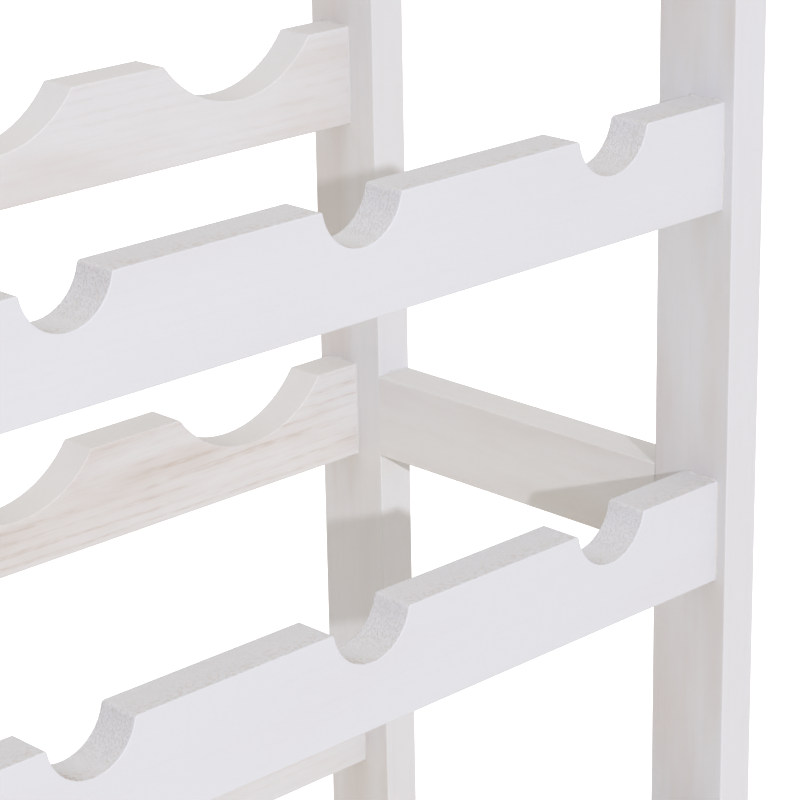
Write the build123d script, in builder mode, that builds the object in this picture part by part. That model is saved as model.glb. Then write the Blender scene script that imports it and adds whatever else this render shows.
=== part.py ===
from build123d import *

import os
from math import sqrt

# A free-standing wooden wine rack: two ladder side frames joined by scalloped bottle rails.
# Millimetres. +Z is up, the front faces -Y, and the origin is on the floor at the centre of the rack.
# Every bottle lies along Y: its neck rests in a small scallop of a front rail, its body in a large
# scallop of the rear rail behind it.

# ---------------------------------------------------------------- driving dimensions
BOTTLES_PER_TIER = 4
TIERS = 5
BOTTLE_PITCH = 104.6  # centre to centre of two bottles on one tier
END_PLACE = 51.5  # from a post's inner face to the nearest bottle's centre
TIER_PITCH = 125.0  # top of one rail to the top of the next

STOCK = 15.0  # thickness of every stick
POST_DEPTH = 31.0  # a post is STOCK wide and this deep
RAIL_HEIGHT = 35.0
STRETCHER_HEIGHT = 30.5
STRETCHER_DROP = 2.3  # a stretcher's top below the rails' tops at its tier
LOW_FRONT_RAILS = {3: 1.6}  # a front rail set slightly low by hand, by tier
RACK_DEPTH = 194.0  # over the posts
RAIL_SETBACK = 4.0  # rails sit this far inside the posts' outer faces

LOWEST_RAIL_TOP = 95.0
POST_ABOVE_TOP_TIER = 20.0

NECK_RADIUS = 15.3  # front scallop
NECK_CENTRE_RISE = 2.0  # its centre above the rail's top
BODY_RADIUS = 40.0  # rear scallop
BODY_CENTRE_RISE = 23.0

CRISP_CORNER = 0.8  # where a scallop meets the rail's top
SANDED_CORNER = 1.4  # the same on the right of a front scallop, rounded over by sanding
CORNER_TOLERANCE = 0.01  # how closely a corner is looked up by its place
EDGE = 0.45  # eased long edges

DOWEL_RADIUS = 3.0
DOWEL_CHAMFER = 0.6
DOWEL_HOLE_PLAY = 0.05
HOLE_END_PLAY = 0.5  # a blind hole is this much deeper than what goes into it
RAIL_DOWEL_IN_POST = 9.0
RAIL_DOWEL_IN_RAIL = 14.0
FRAME_DOWEL_IN_POST = 11.0
FRAME_DOWEL_IN_STRETCHER = 16.0
FRAME_DOWEL_SPACING = 15.0  # two dowels, one above the other, at each end of a stretcher

SHANK_RADIUS = 2.0
SHANK_PLAY = 0.05
HEAD_RADIUS = 4.0
HEAD_ANGLE = 90.0  # of the whole cone, so the head is as deep as it stands out from the shank
RAIL_SCREW_LENGTH = 45.0
SCREW_TIP = 4.0
RECESS_WIDTH = 0.9
RECESS_SPAN = 4.2
RECESS_DEPTH = 1.4
COUNTERSINK_PLAY = 0.15

RAIL_DOWEL_ABOVE_BASE = 25.0  # height of the dowel in a rail's end
RAIL_SCREW_ABOVE_BASE = 11.0

# ---------------------------------------------------------------- what follows from them
RAIL_LENGTH = (BOTTLES_PER_TIER - 1) * BOTTLE_PITCH + 2 * END_PLACE
INNER_X = RAIL_LENGTH / 2  # a post's inner face
OUTER_X = INNER_X + STOCK
POST_X = INNER_X + STOCK / 2
POST_Y = (RACK_DEPTH - POST_DEPTH) / 2
POST_INNER_Y = RACK_DEPTH / 2 - POST_DEPTH  # the face a stretcher meets
RAIL_Y = RACK_DEPTH / 2 - RAIL_SETBACK - STOCK / 2
RAIL_TOPS = [LOWEST_RAIL_TOP + TIER_PITCH * tier for tier in range(TIERS)]
POST_HEIGHT = RAIL_TOPS[-1] + POST_ABOVE_TOP_TIER
STRETCHER_LENGTH = 2 * POST_INNER_Y
FRONT_RAIL_TOPS = [top - LOW_FRONT_RAILS.get(tier, 0.0) for tier, top in enumerate(RAIL_TOPS, start=1)]
TOPS_AT = {"front": FRONT_RAIL_TOPS, "rear": RAIL_TOPS}
STRETCHER_TIERS = {"bottom": 1, "middle": 3, "top": 5}
STRETCHER_TOPS = {level: RAIL_TOPS[tier - 1] - STRETCHER_DROP for level, tier in STRETCHER_TIERS.items()}
BOTTLE_XS = [BOTTLE_PITCH * (i - (BOTTLES_PER_TIER - 1) / 2) for i in range(BOTTLES_PER_TIER)]
SIDES = {"left": -1, "right": 1}
ENDS = {"front": -1, "rear": 1}
DOWEL_HOLE_RADIUS = DOWEL_RADIUS + DOWEL_HOLE_PLAY
SCREW_HOLE_RADIUS = SHANK_RADIUS + SHANK_PLAY


def facing(origin, normal):
    """A plane at origin whose holes are drilled against normal."""
    return Plane(origin=origin, z_dir=normal)


def stretcher_dowel_heights(stretcher_top):
    """Heights of the two dowels in each end of a stretcher."""
    middle = stretcher_top - STRETCHER_HEIGHT / 2
    return [middle - FRAME_DOWEL_SPACING / 2, middle + FRAME_DOWEL_SPACING / 2]


def save(part, name):
    """Labels a finished piece and writes it as its own STEP file."""
    part.label = name
    export_step(part, f"parts/{name}.step")


# ---------------------------------------------------------------- posts
def make_post(side, end, rail_tops):
    """An upright, bored for its rails' screws and dowels and its stretchers."""
    outward = (side, 0, 0)
    with BuildPart() as post:
        with BuildSketch():
            with Locations((side * POST_X, end * POST_Y)):
                Rectangle(STOCK, POST_DEPTH)
        extrude(amount=POST_HEIGHT)
        fillet(post.edges().filter_by(Axis.Z), EDGE)
        chamfer(post.faces().filter_by(Axis.Z).edges(), EDGE / 2)

        screw_seats = [
            facing((side * OUTER_X, end * RAIL_Y, top - RAIL_HEIGHT + RAIL_SCREW_ABOVE_BASE), outward)
            for top in rail_tops
        ]
        with Locations(*screw_seats):
            CounterSinkHole(
                SCREW_HOLE_RADIUS, HEAD_RADIUS + COUNTERSINK_PLAY, STOCK, counter_sink_angle=HEAD_ANGLE
            )

        rail_dowel_mouths = [
            facing(
                (side * INNER_X, end * RAIL_Y, top - RAIL_HEIGHT + RAIL_DOWEL_ABOVE_BASE),
                (-side, 0, 0),
            )
            for top in rail_tops
        ]
        with Locations(*rail_dowel_mouths):
            Hole(DOWEL_HOLE_RADIUS, RAIL_DOWEL_IN_POST + HOLE_END_PLAY)

        frame_dowel_mouths = [
            facing((side * POST_X, end * POST_INNER_Y, height), (0, -end, 0))
            for top in STRETCHER_TOPS.values()
            for height in stretcher_dowel_heights(top)
        ]
        with Locations(*frame_dowel_mouths):
            Hole(DOWEL_HOLE_RADIUS, FRAME_DOWEL_IN_POST + HOLE_END_PLAY)
    return post.part


# ---------------------------------------------------------------- bottle rails
def corners_at(outline, xs):
    """The outline's corners at any of these distances along the rail."""
    return [corner for corner in outline.vertices() if any(abs(corner.X - x) < CORNER_TOLERANCE for x in xs)]


def make_rail(top, end, radius, centre_rise, right_corner):
    """A rail across the rack with one scallop for each bottle, bored at both ends."""
    base = top - RAIL_HEIGHT
    rear_face_y = end * RAIL_Y + STOCK / 2
    with BuildPart() as rail:
        with BuildSketch(Plane.XZ.offset(-rear_face_y)) as outline:
            with Locations((0, base + RAIL_HEIGHT / 2)):
                Rectangle(RAIL_LENGTH, RAIL_HEIGHT)
            with Locations(*[(x, top + centre_rise) for x in BOTTLE_XS]):
                Circle(radius, mode=Mode.SUBTRACT)
            half_chord = sqrt(radius**2 - centre_rise**2)
            fillet(corners_at(outline, [x - half_chord for x in BOTTLE_XS]), CRISP_CORNER)
            fillet(corners_at(outline, [x + half_chord for x in BOTTLE_XS]), right_corner)
        extrude(amount=STOCK)

        long_faces = rail.faces().filter_by(Axis.Y).sort_by(Axis.Y)
        eased = [
            edge
            for face in (long_faces[0], long_faces[-1])
            for edge in face.edges()
            if abs(edge.center().X) < INNER_X - EDGE
        ]
        fillet(eased, EDGE)

        for side in SIDES.values():
            outward = (side, 0, 0)
            end_x = side * INNER_X
            with Locations(facing((end_x, end * RAIL_Y, base + RAIL_DOWEL_ABOVE_BASE), outward)):
                Hole(DOWEL_HOLE_RADIUS, RAIL_DOWEL_IN_RAIL + HOLE_END_PLAY)
            with Locations(facing((end_x, end * RAIL_Y, base + RAIL_SCREW_ABOVE_BASE), outward)):
                Hole(SCREW_HOLE_RADIUS, RAIL_SCREW_LENGTH - STOCK + HOLE_END_PLAY)
    return rail.part


# ---------------------------------------------------------------- side stretchers
def make_stretcher(side, top):
    """A side frame's cross piece, bored for two dowels in each end."""
    with BuildPart() as stretcher:
        with BuildSketch(Plane.XY.offset(top - STRETCHER_HEIGHT)):
            with Locations((side * POST_X, 0)):
                Rectangle(STOCK, STRETCHER_LENGTH)
        extrude(amount=STRETCHER_HEIGHT)
        fillet(stretcher.edges().filter_by(Axis.Y), EDGE)

        for end in ENDS.values():
            mouths = [
                facing((side * POST_X, end * POST_INNER_Y, height), (0, end, 0))
                for height in stretcher_dowel_heights(top)
            ]
            with Locations(*mouths):
                Hole(DOWEL_HOLE_RADIUS, FRAME_DOWEL_IN_STRETCHER + HOLE_END_PLAY)
    return stretcher.part


# ---------------------------------------------------------------- dowels and screws
def make_dowels(length, planes):
    """A plain dowel on each plane, starting at the plane's origin and running along its normal."""
    with BuildPart() as dowels:
        with BuildSketch(*planes):
            Circle(DOWEL_RADIUS)
        extrude(amount=length)
        rims = dowels.edges().filter_by(GeomType.CIRCLE)
        chamfer(rims, DOWEL_CHAMFER)
    return dowels.part


def make_screw(length):
    """A countersunk cross-recess screw along -Z, its head flush with the origin and its thread left plain."""
    with BuildPart() as screw:
        with BuildSketch(Plane.XZ):
            with BuildLine():
                Polyline(
                    (0, 0),
                    (HEAD_RADIUS, 0),
                    (SHANK_RADIUS, SHANK_RADIUS - HEAD_RADIUS),
                    (SHANK_RADIUS, -length + SCREW_TIP),
                    (0, -length),
                    close=True,
                )
            make_face()
        revolve(axis=Axis.Z)
        with BuildSketch(Plane.XY):
            Rectangle(RECESS_SPAN, RECESS_WIDTH)
            Rectangle(RECESS_WIDTH, RECESS_SPAN)
        extrude(amount=-RECESS_DEPTH, mode=Mode.SUBTRACT)
    return screw.part


def make_screws(length, planes):
    """The same screw with its head on each plane, pointing against the plane's normal."""
    screw = make_screw(length)
    with BuildPart() as screws:
        with Locations(*planes):
            add(screw)
    return screws.part


# ---------------------------------------------------------------- the assembly
os.makedirs("parts", exist_ok=True)

for end_name, end in ENDS.items():
    for side_name, side in SIDES.items():
        save(make_post(side, end, TOPS_AT[end_name]), f"{end_name}_{side_name}_post")

SCALLOPS = {
    "front": (NECK_RADIUS, NECK_CENTRE_RISE, SANDED_CORNER),
    "rear": (BODY_RADIUS, BODY_CENTRE_RISE, CRISP_CORNER),
}
for end_name, end in ENDS.items():
    for tier, top in enumerate(TOPS_AT[end_name], start=1):
        save(make_rail(top, end, *SCALLOPS[end_name]), f"{end_name}_rail_tier_{tier}")

for level, top in STRETCHER_TOPS.items():
    for side_name, side in SIDES.items():
        save(make_stretcher(side, top), f"{level}_{side_name}_stretcher")

rail_dowel_planes = [
    facing(
        (side * (INNER_X - RAIL_DOWEL_IN_RAIL), end * RAIL_Y, top - RAIL_HEIGHT + RAIL_DOWEL_ABOVE_BASE),
        (side, 0, 0),
    )
    for side in SIDES.values()
    for end_name, end in ENDS.items()
    for top in TOPS_AT[end_name]
]
save(make_dowels(RAIL_DOWEL_IN_RAIL + RAIL_DOWEL_IN_POST, rail_dowel_planes), "rail_dowels")

frame_dowel_planes = [
    facing((side * POST_X, end * (POST_INNER_Y - FRAME_DOWEL_IN_STRETCHER), height), (0, end, 0))
    for side in SIDES.values()
    for end in ENDS.values()
    for top in STRETCHER_TOPS.values()
    for height in stretcher_dowel_heights(top)
]
save(make_dowels(FRAME_DOWEL_IN_STRETCHER + FRAME_DOWEL_IN_POST, frame_dowel_planes), "stretcher_dowels")

rail_screw_planes = [
    facing((side * OUTER_X, end * RAIL_Y, top - RAIL_HEIGHT + RAIL_SCREW_ABOVE_BASE), (side, 0, 0))
    for side in SIDES.values()
    for end_name, end in ENDS.items()
    for top in TOPS_AT[end_name]
]
save(make_screws(RAIL_SCREW_LENGTH, rail_screw_planes), "rail_screws")
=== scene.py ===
"""A white-painted wooden wine rack, seen close up from its front left and a little above.

Metres. The rack's sticks are the carried-over nodes with painted-wood finishes. The lines of paint
that gather where sticks meet are new surfaces.
"""
import math

import bmesh
import bpy
import numpy as np
from mathutils import Matrix, Vector


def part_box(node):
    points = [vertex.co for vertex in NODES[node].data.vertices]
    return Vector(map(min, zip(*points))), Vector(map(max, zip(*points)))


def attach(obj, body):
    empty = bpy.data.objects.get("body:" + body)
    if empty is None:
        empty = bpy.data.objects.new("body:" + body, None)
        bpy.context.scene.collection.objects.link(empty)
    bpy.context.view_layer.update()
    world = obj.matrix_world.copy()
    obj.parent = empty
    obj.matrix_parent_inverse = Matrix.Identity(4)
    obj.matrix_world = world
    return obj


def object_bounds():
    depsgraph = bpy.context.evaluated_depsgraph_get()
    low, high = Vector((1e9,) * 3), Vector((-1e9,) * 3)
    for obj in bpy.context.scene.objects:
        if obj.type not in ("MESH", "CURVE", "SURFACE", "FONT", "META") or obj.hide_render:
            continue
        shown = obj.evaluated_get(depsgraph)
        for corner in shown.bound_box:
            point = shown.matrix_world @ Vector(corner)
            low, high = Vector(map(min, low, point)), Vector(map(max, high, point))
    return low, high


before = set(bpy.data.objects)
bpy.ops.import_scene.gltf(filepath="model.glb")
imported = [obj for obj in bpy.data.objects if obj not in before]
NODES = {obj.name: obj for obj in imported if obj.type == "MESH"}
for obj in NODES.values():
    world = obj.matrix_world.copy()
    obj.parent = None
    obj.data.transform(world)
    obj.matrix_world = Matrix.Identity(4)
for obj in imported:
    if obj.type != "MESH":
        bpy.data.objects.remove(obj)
CAD_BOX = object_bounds()
MM = 0.001

# ---------------------------------------------------------------- places read from the frame
TIERS = range(1, 6)
RAILS = [f"{end}_rail_tier_{tier}" for end in ("front", "rear") for tier in TIERS]
POSTS = [f"{end}_{side}_post" for end in ("front", "rear") for side in ("left", "right")]
LEVELS = ("bottom", "middle", "top")
STRETCHERS = [f"{level}_{side}_stretcher" for level in LEVELS for side in ("left", "right")]
FRONT_RAIL_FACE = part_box("front_rail_tier_1")[0][1]


# ---------------------------------------------------------------- shader maths as expressions
class Signal:
    """One output of a material's nodes. Arithmetic on it adds Math nodes."""

    def __init__(self, tree, output):
        self.tree = tree
        self.output = output

    def _math(self, operation, *values):
        return node(self.tree, "ShaderNodeMath", {"operation": operation}, dict(enumerate(values)))

    def __add__(self, other):
        return self._math("ADD", self, other)

    __radd__ = __add__

    def __sub__(self, other):
        return self._math("SUBTRACT", self, other)

    def __rsub__(self, other):
        return self._math("SUBTRACT", other, self)

    def __mul__(self, other):
        return self._math("MULTIPLY", self, other)

    __rmul__ = __mul__

    def above(self, edge):
        return self._math("GREATER_THAN", self, edge)

    def at_most(self, limit):
        return self._math("MINIMUM", self, limit)

    def sine(self):
        return self._math("SINE", self)

    def magnitude(self):
        return self._math("ABSOLUTE", self)

    def ramp(self, low, high):
        """0 at low, 1 at high, eased between them."""
        return node(
            self.tree,
            "ShaderNodeMapRange",
            {"interpolation_type": "SMOOTHSTEP"},
            {"Value": self, "From Min": low, "From Max": high},
        )


def node(tree, kind, settings=None, values=None, output=0):
    """Adds one node: its settings first, then the values or links of its sockets."""
    made = tree.nodes.new(kind)
    for name, setting in (settings or {}).items():
        setattr(made, name, setting)
    for key, value in (values or {}).items():
        socket = made.inputs[key]
        if isinstance(value, Signal):
            tree.links.new(value.output, socket)
        else:
            socket.default_value = value
    return Signal(tree, made.outputs[output])


def part_of(vector, letter):
    """The X, Y or Z of a vector."""
    return node(vector.tree, "ShaderNodeSeparateXYZ", {}, {"Vector": vector}, letter)


def mix_colour(tree, amount, first, second):
    """first where amount is 0, second where it is 1."""
    return node(tree, "ShaderNodeMix", {"data_type": "RGBA"}, {0: amount, 6: first, 7: second}, 2)


def noise(tree, place, stretch, detail=4.0, offset=(0.0, 0.0, 0.0)):
    """Noise whose repeats per metre along X, Y and Z are stretch."""
    stretched = node(
        tree, "ShaderNodeMapping", {"vector_type": "POINT"},
        {"Vector": place, "Scale": stretch, "Location": offset},
    )
    return node(tree, "ShaderNodeTexNoise", {}, {"Vector": stretched, "Scale": 1.0, "Detail": detail})


# ---------------------------------------------------------------- finishes
WOOD = (0.54, 0.42, 0.33, 1.0)
YEAR_LINE_SPACING = 4.3 * MM
SPECK_COLOUR = (0.23, 0.16, 0.11, 1.0)
SPECK_CELLS = 42.0  # cells per metre that a dark speck may lie in
SPECK_FREE = 0.965  # share of those cells without one


def along(axis, lengthways, across):
    """Repeats per metre: few along the stick's own axis, many across it."""
    return tuple(lengthways if i == axis else across for i in range(3))


def painted_wood(name, axis, paint, tint, lines, warm_patch_and_shade_faces=None, scalloped=False):
    """Thin white paint over wood whose grain runs along axis.

    tint is how much broad warm patches show, lines how much the year lines do. Given one of X, Y and
    Z for the patch faces, the patches show mostly on the faces square to it; on the posts and
    stretchers those are the side faces, where the warm patches are partly painted warm shade. A year
    line is the crest of a sine across the stick, bent by slow noise and broken into dashes along the
    grain, and fine fibres are added to them. A few small dark specks lie anywhere.
    On a scalloped rail the year lines keep to its broad faces. If it is a front one, its top edge is
    also ridged and pitted, most on the slopes of its scallops, and has bare specks near the front
    face, except on the scallops' right slopes.
    """
    material = bpy.data.materials.new(name)
    material.use_nodes = True
    tree = material.node_tree
    shader = tree.nodes["Principled BSDF"]
    place = node(tree, "ShaderNodeTexCoord", {}, {}, "Object")
    normal = node(tree, "ShaderNodeNewGeometry", {}, {}, "Normal")
    x, y, z = (part_of(place, letter) for letter in "XYZ")

    clouds = noise(tree, place, along(axis, 9.0, 45.0), 3.0).ramp(0.40, 0.70)
    mottle = noise(tree, place, along(axis, 60.0, 240.0), 4.0, (3.1, 1.7, 5.3))
    fibres = noise(tree, place, along(axis, 60.0, 1500.0), 3.0, (7.0, 2.0, 4.0))
    pits = noise(tree, place, (1300.0, 1300.0, 1300.0), 2.0, (1.0, 9.0, 2.0))

    across = (z + y * 0.35, z * 0.6 + x, y + x * 0.6)[axis]
    bend = noise(tree, place, along(axis, 4.0, 85.0), 3.0, (4.0, 4.0, 9.0))
    crest = (across * (2.0 * math.pi / YEAR_LINE_SPACING) + bend * 13.0).sine().ramp(0.15, 1.0)
    dashes = noise(tree, place, along(axis, 150.0, 900.0), 5.0, (2.0, 8.0, 3.0)).ramp(0.24, 0.82)
    stretches = noise(tree, place, along(axis, 14.0, 120.0), 2.0, (6.0, 3.0, 2.0)).ramp(0.36, 0.62)
    year_lines = crest * dashes * (0.25 + stretches * 0.75) + fibres.ramp(0.45, 0.80) * 0.34
    side_on = part_of(normal, "Y").magnitude()
    if scalloped:
        year_lines = year_lines * side_on.ramp(0.5, 0.9)

    cells = node(tree, "ShaderNodeTexVoronoi", {}, {"Vector": place, "Scale": SPECK_CELLS})
    chosen = node(tree, "ShaderNodeTexVoronoi", {}, {"Vector": place, "Scale": SPECK_CELLS}, "Color")
    rare = node(tree, "ShaderNodeSeparateColor", {}, {"Color": chosen}).above(SPECK_FREE)
    specks = (1.0 - cells.ramp(0.008, 0.022)) * rare

    # Partly painted warm shade: the warm patches gather on the faces square to the given axis, the side
    # faces of the posts and stretchers.
    if warm_patch_and_shade_faces:
        square_on = part_of(normal, warm_patch_and_shade_faces).magnitude()
        clouds = clouds * (0.15 + square_on.ramp(0.4, 0.9) * 0.85)
    bare = clouds * tint + year_lines * lines + mottle * (0.25 * tint)
    relief = fibres * 0.5 + mottle * 0.3 + pits * 0.25 - year_lines * 0.3
    if scalloped:
        upward = part_of(normal, "Z")
        rightward = part_of(normal, "X")
        sawn = (1.0 - side_on.ramp(0.3, 0.6)) * upward.above(-0.05) * (1.0 - y.ramp(-0.01, 0.01))
        sawn = sawn * (1.0 - upward.ramp(0.90, 0.99) * 0.55)
        ridges = noise(tree, place, (900.0, 240.0, 900.0), 3.0, (2.0, 6.0, 8.0))
        nicks = noise(tree, place, (650.0, 650.0, 650.0), 2.0, (9.0, 1.0, 6.0)).ramp(0.50, 0.60)
        near_front = 1.0 - (y - FRONT_RAIL_FACE).ramp(3.0 * MM, 9.0 * MM)
        bare_side = rightward.ramp(-0.30, 0.20) * near_front * nicks
        pitted = pits.ramp(0.48, 0.62)
        bare = bare + sawn * (0.02 + ridges.ramp(0.45, 0.75) * 0.09 + pitted * 0.11 + bare_side * 0.70)
        relief = relief + sawn * (ridges * 1.5 - pitted * 1.6)

    colour = mix_colour(tree, bare.at_most(1.0), paint, WOOD)
    colour = mix_colour(tree, specks * 0.75, colour, SPECK_COLOUR)
    tree.links.new(colour.output, shader.inputs["Base Color"])
    tree.links.new((0.50 + mottle * 0.14 + bare * 0.25).at_most(1.0).output, shader.inputs["Roughness"])
    bump = node(tree, "ShaderNodeBump", {}, {"Height": relief, "Strength": 0.5, "Distance": 0.14 * MM})
    tree.links.new(bump.output, shader.inputs["Normal"])
    return material


def bare_dowel():
    """Turned bare beech with short dark flecks along its length."""
    material = bpy.data.materials.new("bare_dowel_wood")
    material.use_nodes = True
    tree = material.node_tree
    shader = tree.nodes["Principled BSDF"]
    place = node(tree, "ShaderNodeTexCoord", {}, {}, "Object")
    flecks = noise(tree, place, (150.0, 900.0, 900.0), 3.0)
    colour = mix_colour(tree, flecks.ramp(0.4, 0.7), (0.60, 0.43, 0.27, 1.0), (0.40, 0.26, 0.15, 1.0))
    tree.links.new(colour.output, shader.inputs["Base Color"])
    tree.links.new((flecks * 0.2 + 0.6).output, shader.inputs["Roughness"])
    bump = node(tree, "ShaderNodeBump", {}, {"Height": flecks, "Strength": 0.4, "Distance": 0.1 * MM})
    tree.links.new(bump.output, shader.inputs["Normal"])
    return material


def zinc_screw():
    """Zinc plate, clouded and finely scratched."""
    material = bpy.data.materials.new("zinc_screw_plate")
    material.use_nodes = True
    tree = material.node_tree
    shader = tree.nodes["Principled BSDF"]
    shader.inputs["Metallic"].default_value = 1.0
    place = node(tree, "ShaderNodeTexCoord", {}, {}, "Object")
    clouding = noise(tree, place, (420.0, 420.0, 420.0), 4.0)
    colour = mix_colour(tree, clouding, (0.52, 0.52, 0.50, 1.0), (0.74, 0.74, 0.71, 1.0))
    tree.links.new(colour.output, shader.inputs["Base Color"])
    tree.links.new((clouding * 0.3 + 0.22).output, shader.inputs["Roughness"])
    return material


# The posts' side faces carry the warm patches most, partly as painted warm shade.
POST_FINISH = painted_wood(
    "post_paint", axis=2, paint=(0.690, 0.690, 0.702, 1.0), tint=0.26, lines=0.06, warm_patch_and_shade_faces="X"
)
# Painted light: the rear posts get a lighter, warmer copy of the post paint, which paints on them more light
# than the lamps bring.
REAR_POST_PAINT_WITH_PAINTED_LIGHT = painted_wood(
    "rear_post_paint_with_painted_light", axis=2, paint=(0.722, 0.714, 0.714, 1.0), tint=0.26, lines=0.06, warm_patch_and_shade_faces="X"
)
RAIL_FINISH = painted_wood(
    "rail_paint", axis=0, paint=(0.690, 0.690, 0.706, 1.0), tint=0.05, lines=0.03, scalloped=True
)
FAINT_GRAIN = painted_wood(
    "rear_rail_faint_grain", axis=0, paint=(0.735, 0.725, 0.722, 1.0), tint=0.22, lines=0.16,
    warm_patch_and_shade_faces="Y", scalloped=True,
)
STRONG_GRAIN = painted_wood(
    "rear_rail_strong_grain", axis=0, paint=(0.735, 0.720, 0.708, 1.0), tint=0.34, lines=0.46,
    warm_patch_and_shade_faces="Y", scalloped=True,
)
# The stretchers' side faces carry the warm patches most, partly as painted warm shade.
STRETCHER_FINISH = painted_wood(
    "stretcher_paint", axis=1, paint=(0.735, 0.725, 0.715, 1.0), tint=0.22, lines=0.06, warm_patch_and_shade_faces="X"
)
LINE_FINISH = painted_wood("paint_line", axis=2, paint=(0.65, 0.63, 0.61, 1.0), tint=0.03, lines=0.0)


def finish_nodes(names, material):
    """Gives the carried-over nodes one finish."""
    for name in names:
        made = NODES[name]
        if not made.material_slots:
            made.data.materials.append(material)
        for slot in made.material_slots:
            slot.material = material


finish_nodes([name for name in POSTS if name.startswith("front")], POST_FINISH)
finish_nodes([name for name in POSTS if name.startswith("rear")], REAR_POST_PAINT_WITH_PAINTED_LIGHT)
finish_nodes([name for name in RAILS if name.startswith("front")], RAIL_FINISH)
finish_nodes([f"rear_rail_tier_{tier}" for tier in TIERS if tier % 2 == 0], FAINT_GRAIN)
finish_nodes([f"rear_rail_tier_{tier}" for tier in TIERS if tier % 2 == 1], STRONG_GRAIN)
finish_nodes(STRETCHERS, STRETCHER_FINISH)
finish_nodes(["rail_dowels", "stretcher_dowels"], bare_dowel())
finish_nodes(["rail_screws"], zinc_screw())


# ---------------------------------------------------------------- lines of paint at the joints
LINE_STEPS = 160  # points round a ring
LINE_PROFILE = 7  # points across its hollow face
LINE_WIDTH = 0.60 * MM
LINE_BURIED = 0.12 * MM
LINE_SINK = 0.016 * MM  # the ring is set this far into the stick's own faces
SQUARENESS = 14.0  # power that turns a circle into a rectangle with small round corners
THINNEST = 0.15  # the least a line's width falls to, as a share of LINE_WIDTH
FLUSH_SHARE = 0.02  # what is left of the width where stick and post are flush
WANDER = ((0.32, 5, 1.0), (0.24, 11, 2.3), (0.16, 23, 4.1))  # height, waves round, share of the seed
RAIL_SEED_STEP = 0.9
STRETCHER_SEED_STEP = 1.3
END_SEED_STEP = 1.7


def paint_line(low, high, face, outward, seed, flush_sides):
    """A closed ring of paint where a stick's end meets a post.

    The ring lies in the plane at face. At turn t it passes the middle of the end, between low and
    high in its two cross directions, plus half the end's size times (cos t, sin t), divided by the
    SQUARENESS-th root of the sum of the SQUARENESS-th powers of those two, less LINE_SINK.
    Across it the surface is a hollow quarter circle of radius w: at angle a it stands w (1 - sin a)
    off the stick and w (1 - cos a) off the post. It closes through one point LINE_BURIED inside
    both. w is LINE_WIDTH times 1 plus the sines in WANDER of the turn, and at least THINNEST of it.
    If flush_sides, w falls to FLUSH_SHARE of that on the two sides where the stick's face runs on
    into the post's.
    """
    turn = np.linspace(0.0, 2.0 * math.pi, LINE_STEPS, endpoint=False)
    half = (np.array(high) - np.array(low)) / 2.0
    middle = (np.array(high) + np.array(low)) / 2.0
    reach = np.stack([np.cos(turn), np.sin(turn)], axis=1)
    power = np.abs(reach) ** SQUARENESS
    square = reach / (power.sum(axis=1, keepdims=True) ** (1.0 / SQUARENESS))
    spot = middle + square * half
    normal = np.sign(square) * np.abs(square) ** (SQUARENESS - 1.0)
    normal = normal / np.linalg.norm(normal, axis=1, keepdims=True)
    spot = spot - normal * LINE_SINK

    wander = np.ones(LINE_STEPS)
    for height, waves, share in WANDER:
        wander = wander + height * np.sin(waves * turn + share * seed)
    width = LINE_WIDTH * np.maximum(wander, THINNEST)
    if flush_sides:
        width = width * (FLUSH_SHARE + (1.0 - FLUSH_SHARE) * np.abs(normal[:, 1]) ** 2)

    angle = np.linspace(0.0, math.pi / 2.0, LINE_PROFILE)
    off_stick = width[:, None] * (1.0 - np.sin(angle))
    off_post = width[:, None] * (1.0 - np.cos(angle))
    buried = np.full((LINE_STEPS, 1), -LINE_BURIED)
    off_stick = np.concatenate([off_stick, buried], axis=1)
    off_post = np.concatenate([off_post, buried], axis=1)
    cross = spot[:, None, :] + normal[:, None, :] * off_stick[:, :, None]
    depth = face + outward * off_post
    return cross, depth


def ring_faces(steps, around, first):
    """Quads of a grid closed both ways, numbered from first."""
    i, j = np.meshgrid(np.arange(steps), np.arange(around), indexing="ij")
    next_i = (i + 1) % steps
    next_j = (j + 1) % around
    quads = np.stack(
        [i * around + j, next_i * around + j, next_i * around + next_j, i * around + next_j], axis=-1
    )
    return quads.reshape(-1, 4) + first


def add_paint_lines(name, stick, run_axis, flush_sides, seed):
    """The two rings of paint at a stick's ends, as one piece."""
    low, high = (np.array(corner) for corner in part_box(stick))
    cross_axes = [axis for axis in range(3) if axis != run_axis]
    points = []
    quads = []
    for number, (face, outward) in enumerate(((low[run_axis], 1.0), (high[run_axis], -1.0))):
        cross, depth = paint_line(
            low[cross_axes], high[cross_axes], face, outward, seed + END_SEED_STEP * number, flush_sides
        )
        spot = np.zeros(depth.shape + (3,))
        spot[..., cross_axes[0]] = cross[..., 0]
        spot[..., cross_axes[1]] = cross[..., 1]
        spot[..., run_axis] = depth
        quads.append(ring_faces(*depth.shape, sum(len(group) for group in points)))
        points.append(spot.reshape(-1, 3))
    mesh = bpy.data.meshes.new(name)
    mesh.from_pydata(np.concatenate(points).tolist(), [], np.concatenate(quads).tolist())
    mesh.polygons.foreach_set("use_smooth", [True] * len(mesh.polygons))
    mesh.materials.append(LINE_FINISH)
    piece = bpy.data.objects.new(name, mesh)
    bpy.context.scene.collection.objects.link(piece)
    recalculate_outward(mesh)
    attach(piece, "root")
    return piece


def recalculate_outward(mesh):
    """Turns a closed mesh's faces outward."""
    work = bmesh.new()
    work.from_mesh(mesh)
    bmesh.ops.recalc_face_normals(work, faces=work.faces)
    work.to_mesh(mesh)
    work.free()


for index, rail in enumerate(RAILS):
    add_paint_lines(f"{rail}_paint_lines", rail, 0, False, RAIL_SEED_STEP * index)
for index, stretcher in enumerate(STRETCHERS):
    add_paint_lines(f"{stretcher}_paint_lines", stretcher, 1, True, STRETCHER_SEED_STEP * index)


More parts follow.
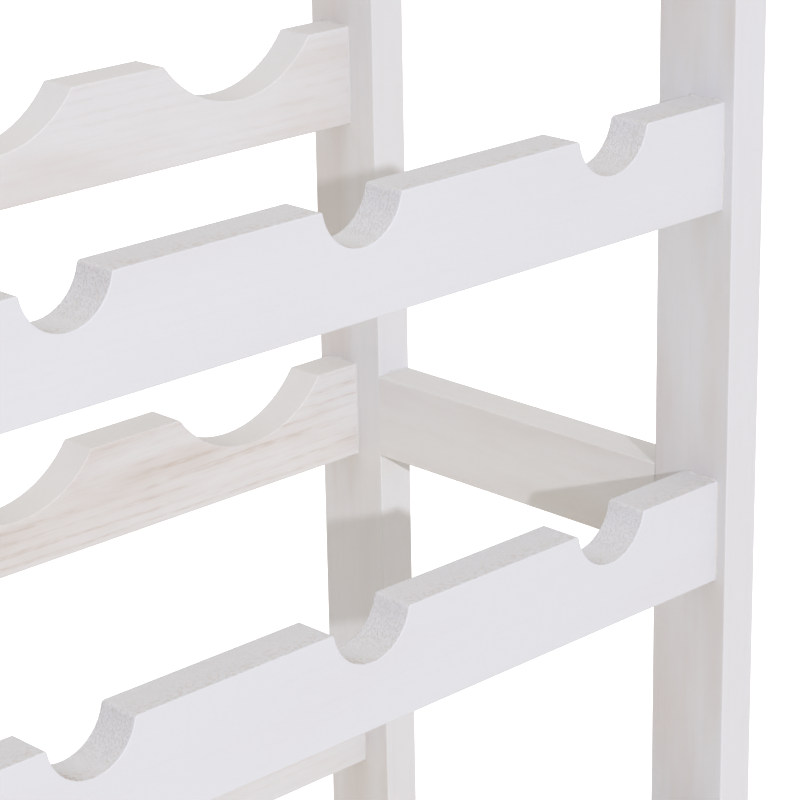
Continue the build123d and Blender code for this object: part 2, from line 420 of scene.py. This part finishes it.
# ---------------------------------------------------------------- floor, light and camera
FLOOR_REACH = 6.0
FLOOR_GLOW = (0.17, 0.13, 0.03, 1.0)  # even, and lights the rack from below
SEEN_GLOW_NEAR = (0.24, 0.24, 0.24, 1.0)  # up to SEEN_GLOW_FROM metres from the rack's middle
SEEN_GLOW_FAR = (1.06, 1.06, 1.06, 1.0)  # beyond SEEN_GLOW_TO metres
SEEN_GLOW_FROM = 0.15
SEEN_GLOW_TO = 0.95
WORLD_COLOUR = (0.914, 0.915, 1.000, 1.0)
WALL_STRENGTH = 1.05


def add_floor():
    """A wide pale floor. The camera sees its glow grow with distance, as a lit white sweep's does.

    All other light paths meet the weaker, even FLOOR_GLOW instead.
    """
    mesh = bpy.data.meshes.new("floor")
    corners = [(x * FLOOR_REACH, y * FLOOR_REACH, 0) for x, y in ((-1, -1), (1, -1), (1, 1), (-1, 1))]
    mesh.from_pydata(corners, [], [(0, 1, 2, 3)])
    material = bpy.data.materials.new("floor_white")
    material.use_nodes = True
    tree = material.node_tree
    shader = tree.nodes["Principled BSDF"]
    shader.inputs["Base Color"].default_value = (0.86, 0.86, 0.86, 1.0)
    shader.inputs["Roughness"].default_value = 0.9
    shader.inputs["Emission Strength"].default_value = 1.0
    place = node(tree, "ShaderNodeTexCoord", {}, {}, "Object")
    distance = node(tree, "ShaderNodeVectorMath", {"operation": "LENGTH"}, {0: place}, "Value")
    glow = mix_colour(tree, distance.ramp(SEEN_GLOW_FROM, SEEN_GLOW_TO), SEEN_GLOW_NEAR, SEEN_GLOW_FAR)
    seen = node(tree, "ShaderNodeLightPath", {}, {}, "Is Camera Ray")
    shown = mix_colour(tree, seen, FLOOR_GLOW, glow)
    tree.links.new(shown.output, shader.inputs["Emission Color"])
    mesh.materials.append(material)
    floor = bpy.data.objects.new("floor", mesh)
    bpy.context.scene.collection.objects.link(floor)
    return floor


def add_world(strength):
    """Even light from all round. The camera sees a plain white wall in its place."""
    world = bpy.data.worlds.new("studio")
    world.use_nodes = True
    tree = world.node_tree
    surround = tree.nodes["Background"]
    surround.inputs["Strength"].default_value = strength
    surround.inputs["Color"].default_value = WORLD_COLOUR
    even = Signal(tree, surround.outputs[0])
    wall = node(tree, "ShaderNodeBackground", {}, {"Color": (1.0, 1.0, 1.0, 1.0), "Strength": WALL_STRENGTH})
    seen = node(tree, "ShaderNodeLightPath", {}, {}, "Is Camera Ray")
    choice = node(tree, "ShaderNodeMixShader", {}, {0: seen, 1: even, 2: wall})
    tree.links.new(choice.output, tree.nodes["World Output"].inputs["Surface"])
    bpy.context.scene.world = world


def add_soft_light(name, towards, distance, size, power, colour, skips=None):
    """A square soft light, placed from the rack's middle along towards and aimed back at it.

    If skips is given, the light leaves that object unlit.
    """
    centre = (Vector(CAD_BOX[0]) + Vector(CAD_BOX[1])) / 2
    lamp = bpy.data.lights.new(name, "AREA")
    lamp.size = size
    lamp.energy = power
    lamp.color = colour
    made = bpy.data.objects.new(name, lamp)
    way = Vector(towards).normalized()
    made.location = centre + way * distance
    made.rotation_euler = way.to_track_quat("Z", "Y").to_euler()
    bpy.context.scene.collection.objects.link(made)
    if skips:
        unlit = bpy.data.collections.new(f"{name}_skips")
        unlit.objects.link(skips)
        made.light_linking.receiver_collection = unlit
        unlit.collection_objects[0].light_linking.link_state = "EXCLUDE"


CAMERA_YAW = 43.99  # degrees, from straight ahead towards the right
CAMERA_DOWN = 19.23  # degrees below level
CAMERA_ROLL = -1.07  # degrees about the way it looks
SENSOR_WIDTH = 36.0  # lens and sensor in the camera's own millimetres
LENS = 133.8
# The camera's x and y from the front right post's low corner, its z from tier 4's front rail's top.
STANDING = (-0.7040, -0.5769, 0.2199)


def add_camera():
    """A long lens near the front left, looking down towards the right posts."""
    post_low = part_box("front_right_post")[0]
    tier_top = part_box("front_rail_tier_4")[1][2]
    yaw = math.radians(CAMERA_YAW)
    down = math.radians(CAMERA_DOWN)
    roll = math.radians(CAMERA_ROLL)
    forward = Vector((math.sin(yaw) * math.cos(down), math.cos(yaw) * math.cos(down), -math.sin(down)))
    right = Vector((math.cos(yaw), -math.sin(yaw), 0.0))
    upward = right.cross(forward)
    turned_right = right * math.cos(roll) + upward * math.sin(roll)
    turned_up = upward * math.cos(roll) - right * math.sin(roll)
    lens = bpy.data.cameras.new("camera")
    lens.sensor_width = SENSOR_WIDTH
    lens.lens = LENS
    camera = bpy.data.objects.new("camera", lens)
    turning = Matrix((turned_right, turned_up, -forward)).transposed().to_4x4()
    standing = Vector((post_low[0] + STANDING[0], post_low[1] + STANDING[1], tier_top + STANDING[2]))
    camera.matrix_world = Matrix.Translation(standing) @ turning
    bpy.context.scene.collection.objects.link(camera)
    bpy.context.scene.camera = camera


floor = add_floor()
add_world(strength=0.73)
add_soft_light(
    "key", towards=(-0.48, -1.0, 0.375), distance=5.1, size=0.10, power=124.0,
    colour=(0.828, 0.873, 1.000), skips=floor,
)
add_soft_light(
    "overhead", towards=(0.0, 0.0, 1.0), distance=2.4, size=2.6, power=15.0,
    colour=(1.000, 0.907, 0.472),
)
add_camera()
bpy.context.scene.view_settings.view_transform = "Standard"
